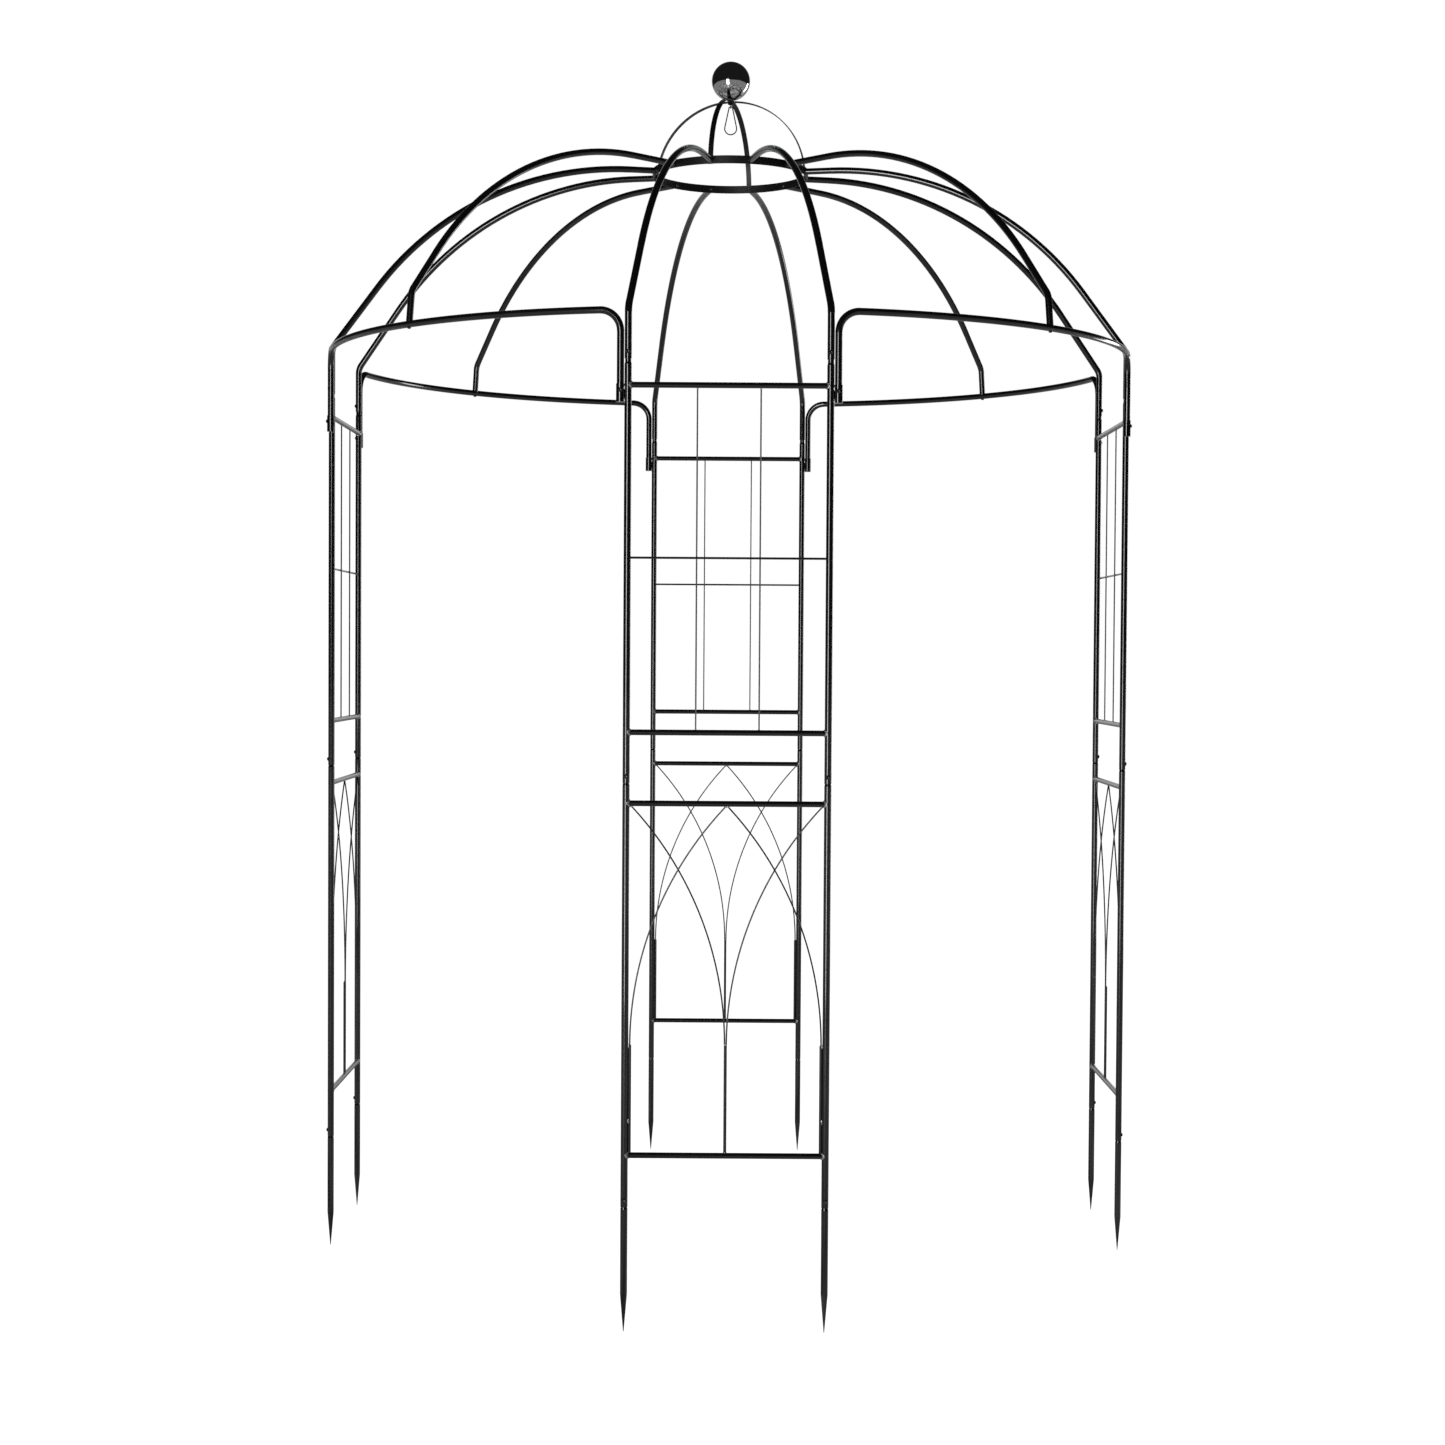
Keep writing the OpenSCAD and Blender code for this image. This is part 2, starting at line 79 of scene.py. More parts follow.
# %% Camera
SENSOR_MM = 36.0
LENS_MM = 60.612
EYE = Vector((-0.0059, -6.3703, 1.5035))
YAW, PITCH, ROLL = 0.0009, -0.0275, 0.0062

lens = bpy.data.cameras.new("portrait_lens")
lens.sensor_width = SENSOR_MM
lens.lens = LENS_MM
lens.clip_end = 200.0
camera = bpy.data.objects.new("camera", lens)
bpy.context.scene.collection.objects.link(camera)
camera.matrix_world = (
    Matrix.Translation(EYE)
    @ Matrix.Rotation(YAW, 4, "Z")
    @ Matrix.Rotation(math.pi / 2 + PITCH, 4, "X")
    @ Matrix.Rotation(ROLL, 4, "Z")
)
bpy.context.scene.camera = camera
print("camera:", round(lens.lens, 2), "mm lens")

# %% [markdown]
# ## Studio
# Gloss black shows only what it reflects. One tall softbox stands to the left of the camera and draws a
# crisp pale line a little left of the middle of every tube. The rest of the room stays dim, or the black
# would turn grey, and the same dim room fills the upper half of the mirror ball. Only the sweep behind
# the pavilion is lit, which turns the side panels' rungs grey, because they are seen almost end on. A
# softbox at the back does the key's work for anyone who walks round the pavilion.

# %% Room and backdrop
BACKDROP_WHITE = 1.0
ROOM_DIM = 0.012
SWEEP_LIT = 0.55

room = bpy.data.worlds.new("room")
bpy.context.scene.world = room
room.use_nodes = True
tree = room.node_tree
tree.nodes.clear()
out = tree.nodes.new("ShaderNodeOutputWorld")
seen = tree.nodes.new("ShaderNodeBackground")
seen.inputs["Color"].default_value = (1, 1, 1, 1)
seen.inputs["Strength"].default_value = BACKDROP_WHITE
felt = tree.nodes.new("ShaderNodeBackground")
felt.inputs["Color"].default_value = (0.97, 0.98, 1.0, 1)
direction = tree.nodes.new("ShaderNodeTexCoord")
split = tree.nodes.new("ShaderNodeSeparateXYZ")
tree.links.new(direction.outputs["Generated"], split.inputs["Vector"])
sweep = tree.nodes.new("ShaderNodeMapRange")
sweep.interpolation_type = "SMOOTHSTEP"
SWEEP_RANGE = {"From Min": 0.80, "From Max": 0.97, "To Min": ROOM_DIM, "To Max": SWEEP_LIT}
for label, number in SWEEP_RANGE.items():
    sweep.inputs[label].default_value = number
tree.links.new(split.outputs["Y"], sweep.inputs["Value"])
tree.links.new(sweep.outputs["Result"], felt.inputs["Strength"])
path = tree.nodes.new("ShaderNodeLightPath")
pick = tree.nodes.new("ShaderNodeMixShader")
tree.links.new(path.outputs["Is Camera Ray"], pick.inputs["Fac"])
tree.links.new(felt.outputs[0], pick.inputs[1])
tree.links.new(seen.outputs[0], pick.inputs[2])
tree.links.new(pick.outputs[0], out.inputs["Surface"])
bpy.context.scene.view_settings.view_transform = "Standard"
print("room: backdrop", BACKDROP_WHITE, "room", ROOM_DIM)

# %% Softboxes
AIM = Vector((0.0, 0.0, 1.5))


def softbox(name, place, width, height, radiance, aim=AIM):
    """A rectangular area light facing aim; radiance is how bright its face looks."""
    light = bpy.data.lights.new(name, "AREA")
    light.shape = "RECTANGLE"
    light.size, light.size_y = width, height
    light.energy = radiance * math.pi * width * height
    box = bpy.data.objects.new(name, light)
    bpy.context.scene.collection.objects.link(box)
    box.location = place
    box.rotation_mode = "QUATERNION"
    box.rotation_quaternion = (aim - Vector(place)).to_track_quat("-Z", "Y")
    return box


softbox("key_softbox", (-1.75, -5.1, 1.55), 1.25, 2.9, 10.0, Vector((0.0, 0.0, 1.55)))
softbox("back_softbox", (4.6, 3.2, 1.7), 1.2, 3.0, 5.0)

# %% [markdown]
# ## Floor
# The floor is a wide pale sheet. It glows by itself, as a lit table does in a studio, so that it meets
# the white backdrop without a line. What the steel sees of it is much dimmer, or the tubes would lose
# their black.

# %% Floor
FLOOR_HALF = 60.0
FLOOR_PALE = 0.60
FLOOR_SEEN_BY_STEEL = 0.12
SPILL_LOW, SPILL_HIGH = 0.04, 0.45
FLOOR_GLOW = 1.0


def material(name):
    """An empty node material with its Principled shader and the tree."""
    paint = bpy.data.materials.new(name)
    paint.use_nodes = True
    shader = paint.node_tree.nodes["Principled BSDF"]
    return paint, paint.node_tree, shader


floor_bm = bmesh.new()
bmesh.ops.create_grid(floor_bm, x_segments=2, y_segments=2, size=FLOOR_HALF)
floor_mesh = bpy.data.meshes.new("floor")
floor_bm.to_mesh(floor_mesh)
floor_bm.free()
floor = bpy.data.objects.new("floor", floor_mesh)
bpy.context.scene.collection.objects.link(floor)
floor.location.z = cad_low.z
pale, tree, shader = material("pale_floor")
shader.inputs["Roughness"].default_value = 0.7
shader.inputs["Emission Color"].default_value = (1, 1, 1, 1)
path = tree.nodes.new("ShaderNodeLightPath")
glow = tree.nodes.new("ShaderNodeMapRange")
glow.inputs["To Max"].default_value = FLOOR_GLOW
tree.links.new(path.outputs["Is Camera Ray"], glow.inputs["Value"])
tree.links.new(glow.outputs["Result"], shader.inputs["Emission Strength"])
# Painted pools of light: noise sets how strongly the floor glows to every ray but the camera's, so the
# steel reflects patchy glow and the frame's undersides are lit by it.
coord = tree.nodes.new("ShaderNodeTexCoord")
pools = tree.nodes.new("ShaderNodeTexNoise")
pools.inputs["Scale"].default_value = 0.9
pools.inputs["Detail"].default_value = 3.0
tree.links.new(coord.outputs["Object"], pools.inputs["Vector"])
spill = tree.nodes.new("ShaderNodeMapRange")
SPILL_RANGE = {"From Min": 0.36, "From Max": 0.64, "To Min": SPILL_LOW, "To Max": SPILL_HIGH}
for label, number in SPILL_RANGE.items():
    spill.inputs[label].default_value = number
tree.links.new(pools.outputs["Fac"], spill.inputs["Value"])
tree.links.new(spill.outputs["Result"], glow.inputs["To Min"])
sheet = tree.nodes.new("ShaderNodeMix")
sheet.data_type = "RGBA"
sheet.inputs[6].default_value = (FLOOR_SEEN_BY_STEEL, FLOOR_SEEN_BY_STEEL, FLOOR_SEEN_BY_STEEL, 1)
sheet.inputs[7].default_value = (FLOOR_PALE, FLOOR_PALE, FLOOR_PALE, 1)
tree.links.new(path.outputs["Is Camera Ray"], sheet.inputs[0])
tree.links.new(sheet.outputs[2], shader.inputs["Base Color"])
floor.data.materials.append(pale)
print("floor:", 2 * FLOOR_HALF, "m square")

# %% [markdown]
# ## Surface effects that several finishes share
# Three small node groups hold the effects that more than one finish uses. Each puts out only values, so
# every material keeps its own Principled shader.
#
# - orange_peel: the faint ripple that baked powder leaves, as a height.
# - handling: soft cloudy patches and fine specks, as masks for roughness and colour.
# - settled_dust: how much a surface faces the sky, broken up by noise.

# %% Node group helpers
def group_tree(name, inputs, outputs):
    """A shader node group whose inputs are {name: default} and whose outputs are value sockets."""
    group = bpy.data.node_groups.new(name, "ShaderNodeTree")
    for label, default in inputs.items():
        socket = group.interface.new_socket(name=label, in_out="INPUT", socket_type="NodeSocketFloat")
        socket.default_value = default
    for label in outputs:
        group.interface.new_socket(name=label, in_out="OUTPUT", socket_type="NodeSocketFloat")
    return group, group.nodes.new("NodeGroupInput"), group.nodes.new("NodeGroupOutput")


def noise_node(group, scale_socket, detail=3.0, rough=0.5):
    """3-D noise on object coordinates, at a scale that a socket gives."""
    coord = group.nodes.new("ShaderNodeTexCoord")
    tex = group.nodes.new("ShaderNodeTexNoise")
    tex.inputs["Detail"].default_value = detail
    tex.inputs["Roughness"].default_value = rough
    group.links.new(coord.outputs["Object"], tex.inputs["Vector"])
    group.links.new(scale_socket, tex.inputs["Scale"])
    return tex


def math_node(group, operation, a, b=None):
    """A Math node; a and b are sockets or numbers."""
    node = group.nodes.new("ShaderNodeMath")
    node.operation = operation
    for socket, value in zip(node.inputs, (a, b)):
        if value is None:
            continue
        if isinstance(value, (int, float)):
            socket.default_value = value
        else:
            group.links.new(value, socket)
    return node.outputs[0]


def range_node(group, value, low, high, to_low=0.0, to_high=1.0):
    """Maps low..high to to_low..to_high, clamped."""
    node = group.nodes.new("ShaderNodeMapRange")
    limits = {"From Min": low, "From Max": high, "To Min": to_low, "To Max": to_high}
    for label, number in limits.items():
        node.inputs[label].default_value = number
    group.links.new(value, node.inputs["Value"])
    return node.outputs["Result"]


print("node helpers:", [f.__name__ for f in (group_tree, noise_node, math_node, range_node)])


# %% Orange peel, handling marks and dust
orange_peel, g_in, g_out = group_tree("orange_peel", {"Scale": 420.0}, ["Height"])
broad = noise_node(orange_peel, g_in.outputs["Scale"], detail=2.0)
fine_scale = math_node(orange_peel, "MULTIPLY", g_in.outputs["Scale"], 2.7)
fine = noise_node(orange_peel, fine_scale, detail=1.0)
half_fine = math_node(orange_peel, "MULTIPLY", fine.outputs["Fac"], 0.35)
height = math_node(orange_peel, "ADD", broad.outputs["Fac"], half_fine)
orange_peel.links.new(height, g_out.inputs["Height"])

handling, g_in, g_out = group_tree(
    "handling", {"Patch Scale": 9.0, "Speck Scale": 900.0}, ["Patches", "Specks"])
cloud = noise_node(handling, g_in.outputs["Patch Scale"], detail=5.0, rough=0.6)
handling.links.new(range_node(handling, cloud.outputs["Fac"], 0.42, 0.68), g_out.inputs["Patches"])
grit = noise_node(handling, g_in.outputs["Speck Scale"], detail=1.0)
handling.links.new(range_node(handling, grit.outputs["Fac"], 0.70, 0.78), g_out.inputs["Specks"])

settled_dust, g_in, g_out = group_tree("settled_dust", {"Amount": 1.0, "Scale": 60.0}, ["Dust"])
facing = settled_dust.nodes.new("ShaderNodeNewGeometry")
up = settled_dust.nodes.new("ShaderNodeSeparateXYZ")
settled_dust.links.new(facing.outputs["Normal"], up.inputs["Vector"])
skyward = range_node(settled_dust, up.outputs["Z"], 0.35, 1.0)
breakup = noise_node(settled_dust, g_in.outputs["Scale"], detail=4.0, rough=0.65)
patchy = range_node(settled_dust, breakup.outputs["Fac"], 0.35, 0.75)
settled = math_node(settled_dust, "MULTIPLY", skyward, patchy)
dust = math_node(settled_dust, "MULTIPLY", settled, g_in.outputs["Amount"])
settled_dust.links.new(dust, g_out.inputs["Dust"])
print("node groups:", [g.name for g in bpy.data.node_groups])

# %% [markdown]
# ## Black powder coat
# The real frame is dipped in powder and baked. The film is deep black, glossy, very slightly rippled,
# and a touch thicker in the corners. A Principled shader with a clear coat gives the two-step gloss: a
# sharp reflection from the skin over a softer one from the pigment. Handling marks dull it in patches
# and a trace of dust lies on what faces the sky. Powder draws back from the crests of a weld, so there the
# grey of the bead shines through the film and its colour is a pale metallic one.

# %% Coat helpers
def place_group(tree, group, **values):
    """Puts a node group into a material and sets its inputs."""
    node = tree.nodes.new("ShaderNodeGroup")
    node.node_tree = group
    for label, number in values.items():
        node.inputs[label.replace("_", " ")].default_value = number
    return node


def mix_colour(tree, mask, under, over):
    """Colour that goes from under to over as mask goes from 0 to 1."""
    node = tree.nodes.new("ShaderNodeMix")
    node.data_type = "RGBA"
    tree.links.new(mask, node.inputs[0])
    for socket, value in ((node.inputs[6], under), (node.inputs[7], over)):
        if isinstance(value, tuple):
            socket.default_value = (*value, 1)
        else:
            tree.links.new(value, socket)
    return node.outputs[2]


def bump(tree, shader, height, strength, distance):
    """Feeds a height into the shader's normal."""
    node = tree.nodes.new("ShaderNodeBump")
    node.inputs["Strength"].default_value = strength
    node.inputs["Distance"].default_value = distance
    tree.links.new(height, node.inputs["Height"])
    tree.links.new(node.outputs["Normal"], shader.inputs["Normal"])


DEEP_BLACK = (0.0035, 0.0036, 0.0040)
SPECK_GREY = (0.012, 0.012, 0.011)
DUST_GREY = (0.030, 0.029, 0.027)


def powder_coat(name, colour, rough, peel_scale, dusty, gloss=0.8, skin=0.05, metallic=0.0):
    """Baked powder over steel; gloss is the clear skin's weight and skin its roughness."""
    coat, tree, shader = material(name)
    shader.inputs["Metallic"].default_value = metallic
    marks = place_group(tree, handling)
    dust = place_group(tree, settled_dust, Amount=dusty)
    peel = place_group(tree, orange_peel, Scale=peel_scale)
    lighter = tuple(c * 1.4 + 0.001 for c in colour)
    worn = mix_colour(tree, marks.outputs["Patches"], colour, lighter)
    specked = mix_colour(tree, marks.outputs["Specks"], worn, SPECK_GREY)
    dusted = mix_colour(tree, dust.outputs["Dust"], specked, DUST_GREY)
    tree.links.new(dusted, shader.inputs["Base Color"])
    patches = range_node(tree, marks.outputs["Patches"], 0.0, 1.0, rough, rough + 0.05)
    dulled = math_node(tree, "ADD", patches, math_node(tree, "MULTIPLY", dust.outputs["Dust"], 0.35))
    tree.links.new(dulled, shader.inputs["Roughness"])
    shader.inputs["Coat Weight"].default_value = gloss
    shader.inputs["Coat Roughness"].default_value = skin
    bump(tree, shader, peel.outputs["Height"], 0.10, 0.000012)
    return coat


frame_black = powder_coat("black_powder_coat", DEEP_BLACK, 0.15, 420.0, 0.15)
weld_black = powder_coat(
    "coated_weld", (0.40, 0.40, 0.41), 0.28, 700.0, 0.10, gloss=1.0, skin=0.08, metallic=0.7)
screw_black = powder_coat("black_screws", (0.011, 0.011, 0.012), 0.30, 900.0, 0.15)
strip_black = powder_coat(
    "black_coat_on_strip", DEEP_BLACK, 0.42, 420.0, 0.15, gloss=0.15, skin=0.25)
print("powder coats:", frame_black.name, strip_black.name, weld_black.name, screw_black.name)

# %% [markdown]
# ## Dark zinc
# The stud, its nut and the wire loop under the ball are plated, not painted. Plating is thinner than
# powder, so it looks like dark metal with fine drawn lines along the wire and cloudy stains.

# %% Dark zinc
dark_zinc, tree, shader = material("dark_zinc_plate")
marks = place_group(tree, handling, Patch_Scale=70.0, Speck_Scale=2200.0)
stained = mix_colour(tree, marks.outputs["Patches"], (0.040, 0.040, 0.043), (0.018, 0.018, 0.020))
tree.links.new(stained, shader.inputs["Base Color"])
cloudy = range_node(tree, marks.outputs["Patches"], 0.0, 1.0, 0.28, 0.46)
tree.links.new(cloudy, shader.inputs["Roughness"])
shader.inputs["Metallic"].default_value = 0.85
grain = place_group(tree, orange_peel, Scale=1600.0)
bump(tree, shader, grain.outputs["Height"], 0.20, 0.00003)
print("zinc:", dark_zinc.name)

# %% [markdown]
# ## Mirror steel
# The ball is thin stainless steel, polished on a wheel. A perfect mirror looks false: the real one has
# hair-fine polishing swirls, a few water spots and a slight waviness where the two pressed halves were
# joined and dressed.

# %% Mirror steel
mirror_steel, tree, shader = material("mirror_polished_steel")
spots = place_group(tree, handling, Patch_Scale=28.0, Speck_Scale=420.0)
tint = mix_colour(tree, spots.outputs["Specks"], (0.70, 0.70, 0.71), (0.46, 0.46, 0.46))
tree.links.new(tint, shader.inputs["Base Color"])
shader.inputs["Metallic"].default_value = 1.0
film = range_node(tree, spots.outputs["Patches"], 0.0, 1.0, 0.035, 0.085)
smear = math_node(tree, "ADD", film, math_node(tree, "MULTIPLY", spots.outputs["Specks"], 0.18))
tree.links.new(smear, shader.inputs["Roughness"])
wave = place_group(tree, orange_peel, Scale=34.0)
bump(tree, shader, wave.outputs["Height"], 0.10, 0.0006)
print("mirror:", mirror_steel.name)

# %% [markdown]
# ## Dress the engineering model
# Every tube, rung and strip already has its right shape, so each of those nodes only gets its coat. The
# rolled strips of the crown come out of the oven less glossy than the drawn tubes, because rolling
# leaves a coarser skin under the powder.

# %% Assign the coats
SLOT_COATS = {
    "frame_paint": frame_black,
    "black_fasteners": screw_black,
    "mirror_steel": mirror_steel,
    "dark_zinc": dark_zinc,
}
FLAT_STRIPS = ("crown_ring", "hoop_lower", "hoop_upper")
slot_of = {s["node"]: s["material_slot"] for s in frame["record"]["subparts"]}
for name, part in nodes.items():
    coat = strip_black if name in FLAT_STRIPS else SLOT_COATS[slot_of[name]]
    if not part.material_slots:
        part.data.materials.append(coat)
    for socket in part.material_slots:
        socket.material = coat
print("coated:", {s: sum(v == s for v in slot_of.values()) for s in SLOT_COATS})

# %% [markdown]
# ## Sizes that the welds and screws need
# These are the pavilion's own dimensions in metres, as its source names them.

# %% Sizes
TUBE_R, RUNG_R, ROD_R, WIRE_R, CROSS_R = 0.008, 0.0065, 0.0035, 0.00175, 0.0025
SOCKET_R = 0.0095
UPRIGHT_X = 0.223
PANEL_R = 1.0
WELD_SINK = 0.0005
FOOT_Z, ROD_TOP_Z, WAIST_Z = 0.394, 0.640, 1.176
SILL_Z, CROSS_Z, HEAD_Z = 1.333, 1.718, 2.098
WIRE_X = 0.070
SOCKET_LOW_Z = 2.060
ROD_X = UPRIGHT_X - TUBE_R - ROD_R + WELD_SINK
CORNER_X = UPRIGHT_X - TUBE_R - 1.2 * 2 * WIRE_R
LEG_X = UPRIGHT_X + TUBE_R + SOCKET_R - WELD_SINK
LAYER_Y = 0.35 * 2 * WIRE_R
SIDE_NAMES = ("front", "right", "back", "left")


def on_panel(side):
    """Matrix from a panel's own frame (x along it, -y outwards) to the pavilion's."""
    return Matrix.Rotation(side * math.pi / 2, 4, "Z") @ Matrix.Translation((0, -PANEL_R, 0))


print("side rods at", round(ROD_X, 4), "m, corner wires at", round(CORNER_X, 4), "m")

# %% [markdown]
# ## Weld beads
# A rung is welded all round to its uprights, and a wire gets one or two tacks. Under gloss paint these
# beads are the only bright flecks on the ladder. A bead all round is a small circle spun about the
# rung's axis, then pushed back to follow the upright's round face. Its ripple is the welder's hand: a
# wave round the bead with some noise on it. A tack is a flattened ball with the same noise.

# %% Bead and tack
COLLAR_STEPS = 40
BEAD_SIDES = 8
BEAD_R = 0.0021


def add_part(whole, part, place):
    """Moves a small bmesh to its place and adds it to the whole."""
    bmesh.ops.transform(part, matrix=place, verts=part.verts)
    bmesh.ops.recalc_face_normals(part, faces=part.faces)
    shape = bpy.data.meshes.new("part")
    part.to_mesh(shape)
    part.free()
    whole.from_mesh(shape)
    bpy.data.meshes.remove(shape)


def ring_bead(radius, bead, wall_r, ripples, seed):
    """Bead round a tube on the x axis that meets an upright of radius wall_r on the z axis."""
    ring = bmesh.new()
    bmesh.ops.create_circle(ring, cap_ends=False, segments=BEAD_SIDES, radius=bead)
    bmesh.ops.rotate(ring, verts=ring.verts, matrix=Matrix.Rotation(math.pi / 2, 3, "X"))
    bmesh.ops.translate(ring, verts=ring.verts, vec=(wall_r, 0, radius))
    bmesh.ops.spin(ring, geom=ring.verts[:] + ring.edges[:], cent=(0, 0, 0), axis=(1, 0, 0),
                   angle=2 * math.pi, steps=COLLAR_STEPS, use_merge=True, use_duplicate=False)
    bmesh.ops.remove_doubles(ring, verts=ring.verts, dist=1e-7)
    for v in ring.verts:
        turn = math.atan2(v.co.z, v.co.y)
        middle = Vector((wall_r, radius * math.cos(turn), radius * math.sin(turn)))
        wave = 0.16 * math.sin(ripples * turn + seed)
        lump = 1 + wave + 0.22 * noise.noise(v.co * 900 + Vector((seed, 0, 0)))
        v.co = middle + (v.co - middle) * lump
        v.co.x -= wall_r - math.sqrt(max(wall_r**2 - min(abs(v.co.y), 0.95 * wall_r) ** 2, 0))
    return ring


def tack(width, depth, height, seed):
    """A flattened, slightly lumpy ball."""
    blob = bmesh.new()
    bmesh.ops.create_icosphere(blob, subdivisions=3, radius=1.0)
    for v in blob.verts:
        lump = 1 + 0.18 * noise.noise(v.co * 1.7 + Vector((seed, seed * 0.7, 0)))
        v.co = Vector((v.co.x * width, v.co.y * depth, v.co.z * height)) * lump
    return blob


print("bead:", BEAD_SIDES, "sides,", COLLAR_STEPS, "steps")

# %% [markdown]
# ## Curved wires
# Each curved wire is one arc. It starts upright beside a rod and leans over until it meets the underside
# of the waist rung, so its radius follows from how far it has to go sideways and up. A thin wire shows
# every flat on its outline, so the wires are drawn again here with round sides, over those of the
# engineering model. Where two wires cross, they are sunk a little into each other and tacked.

# %% Wire arcs
WIRE_SIDES, WIRE_STEPS = 16, 40
WIRE_OVERRUN = 0.0015  # how far a wire's end goes into the rung
SIDE_RUN = (ROD_X, 0.75 * 2 * WIRE_R, -LAYER_Y)
MIDDLE_RUN = (0.55 * 2 * WIRE_R, CORNER_X, LAYER_Y)
RISE = WAIST_Z - RUNG_R - ROD_TOP_Z


def wire_bend(start, end):
    """Radius of the arc that starts upright and moves from start to end while it climbs to the rung."""
    run = abs(end - start)
    return (run * run + RISE * RISE) / (2 * run)


def wire_arc(start, end, layer, hand):
    """One curved wire of a panel, closed at both ends."""
    bend = wire_bend(start, end)
    way = hand * (1 if end > start else -1)
    centre = (hand * start + way * bend, layer, ROD_TOP_Z)
    climb = math.asin((RISE + WIRE_OVERRUN) / bend)
    wire = bmesh.new()
    bmesh.ops.create_circle(wire, cap_ends=False, segments=WIRE_SIDES, radius=WIRE_R * 1.01)
    bmesh.ops.translate(wire, verts=wire.verts, vec=(hand * start, layer, ROD_TOP_Z))
    bmesh.ops.spin(wire, geom=wire.verts[:] + wire.edges[:], cent=centre, axis=(0, 1, 0),
                   angle=way * climb, steps=WIRE_STEPS, use_merge=False, use_duplicate=False)
    bmesh.ops.holes_fill(wire, edges=[e for e in wire.edges if e.is_boundary], sides=0)
    return wire


def crossing():
    """Height and distance from the middle where a side wire crosses a middle wire."""
    side_r, middle_r = wire_bend(*SIDE_RUN[:2]), wire_bend(*MIDDLE_RUN[:2])
    low, high = 0.0, RISE
    for _ in range(40):
        climb = (low + high) / 2
        side_x = SIDE_RUN[0] - side_r + math.sqrt(side_r**2 - climb**2)
        middle_x = MIDDLE_RUN[0] + middle_r - math.sqrt(middle_r**2 - climb**2)
        low, high = (climb, high) if side_x > middle_x else (low, climb)
    return ROD_TOP_Z + climb, side_x


cross_z, cross_x = crossing()
print("curved wires cross at", round(cross_x, 3), round(cross_z, 3))


# %% Weld one panel
def panel_welds(side):
    """All the beads and tacks of one ladder panel, as one piece."""
    whole = bmesh.new()
    place = on_panel(side)

    def put(part, x, y, z, turn=0.0):
        add_part(whole, part, place @ Matrix.Translation((x, y, z)) @ Matrix.Rotation(turn, 4, "Z"))

    inner_x = UPRIGHT_X - TUBE_R
    waist_under_z = WAIST_Z - RUNG_R - 0.0004
    count = 0
    for hand in (-1, 1):
        for z in (FOOT_Z, WAIST_Z, SILL_Z, HEAD_Z):
            count += 1
            bead = ring_bead(RUNG_R, BEAD_R, TUBE_R, 9, side * 7.3 + count)
            put(bead, hand * UPRIGHT_X, 0, z, math.pi if hand > 0 else 0.0)
        # the arch socket
        for z in (SOCKET_LOW_Z + 0.004, HEAD_Z - 0.006):
            for y in (-0.0052, 0.0052):
                put(tack(0.0016, 0.0014, 0.006, z * 9 + y), hand * (UPRIGHT_X + TUBE_R - 0.0002), y, z)
        # the side rod: two tacks to its upright and one to the foot rung
        put(tack(0.0022, 0.0022, 0.0045, hand), hand * (inner_x - 0.0006), -0.002, ROD_TOP_Z - 0.003)
        put(tack(0.0022, 0.0022, 0.0060, hand + 2), hand * (inner_x - 0.0006), -0.002, 0.470)
        put(tack(0.0030, 0.0030, 0.0018, hand + 3), hand * ROD_X, 0, FOOT_Z + RUNG_R + 0.0008)
        # the curved wires: their ends under the waist rung, and where they cross
        put(tack(0.0028, 0.0024, 0.0022, hand + 4), hand * CORNER_X, LAYER_Y, waist_under_z)
        put(tack(0.0026, 0.0024, 0.0024, hand + 5), hand * SIDE_RUN[1], -LAYER_Y, waist_under_z)
        put(tack(0.0019, 0.0026, 0.0022, hand + 6), hand * cross_x, 0, cross_z)
        # the upper panel's straight wires
        put(tack(0.0022, 0.0024, 0.0026, hand + 7), hand * (inner_x - 0.0004), -0.0037, CROSS_Z)
        put(tack(0.0020, 0.0022, 0.0024, hand + 8), hand * WIRE_X, -0.0014, CROSS_Z)
        for z in (SILL_Z + RUNG_R, HEAD_Z - RUNG_R):
            put(tack(0.0023, 0.0023, 0.0018, hand + z), hand * WIRE_X, 0, z)
    # the middle rod's foot, and its top between the two middle wires
    put(tack(0.0040, 0.0040, 0.0018, 9.1), 0, 0, FOOT_Z + RUNG_R + 0.0008)
    put(tack(0.0034, 0.0028, 0.0040, 9.7), 0, 0.0004, ROD_TOP_Z + 0.0005)
    welds = bpy.data.meshes.new("welds_" + SIDE_NAMES[side])
    whole.to_mesh(welds)
    whole.free()
    welds.shade_smooth()
    return welds


def add_piece(name, shape, coat, body):
    """Links a finished mesh as a piece that rides on a body."""
    shape.materials.append(coat)
    piece = bpy.data.objects.new(name, shape)
    bpy.context.scene.collection.objects.link(piece)
    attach(piece, body)
    return piece


def panel_wires(side):
    """The four curved wires of one ladder panel, as one piece."""
    whole = bmesh.new()
    for hand in (-1, 1):
        for start, end, layer in (SIDE_RUN, MIDDLE_RUN):
            add_part(whole, wire_arc(start, end, layer, hand), on_panel(side))
    wires = bpy.data.meshes.new("curved_wires_" + SIDE_NAMES[side])
    whole.to_mesh(wires)
    whole.free()
    wires.shade_smooth()
    wires.set_sharp_from_angle(angle=math.radians(40))
    return wires


PANEL_PIECES = (("welds_", panel_welds, weld_black), ("curved_wires_", panel_wires, frame_black))
for side, side_name in enumerate(SIDE_NAMES):
    for label, build, coat in PANEL_PIECES:
        piece = add_piece(label + side_name, build(side), coat, "pavilion")
        print(piece.name, len(piece.data.polygons), "faces")

# %% [markdown]
# ## Screw heads
# The joints are held by domed screws with a hex socket. A half profile of the head is spun all round,
# and the points of the socket are moved out to a hexagon, which an operator-made cylinder would need a
# boolean cut for. The heads sit where the engineering model has its plain ones and stand for them.

# %% One screw head
SPIN_STEPS = 48


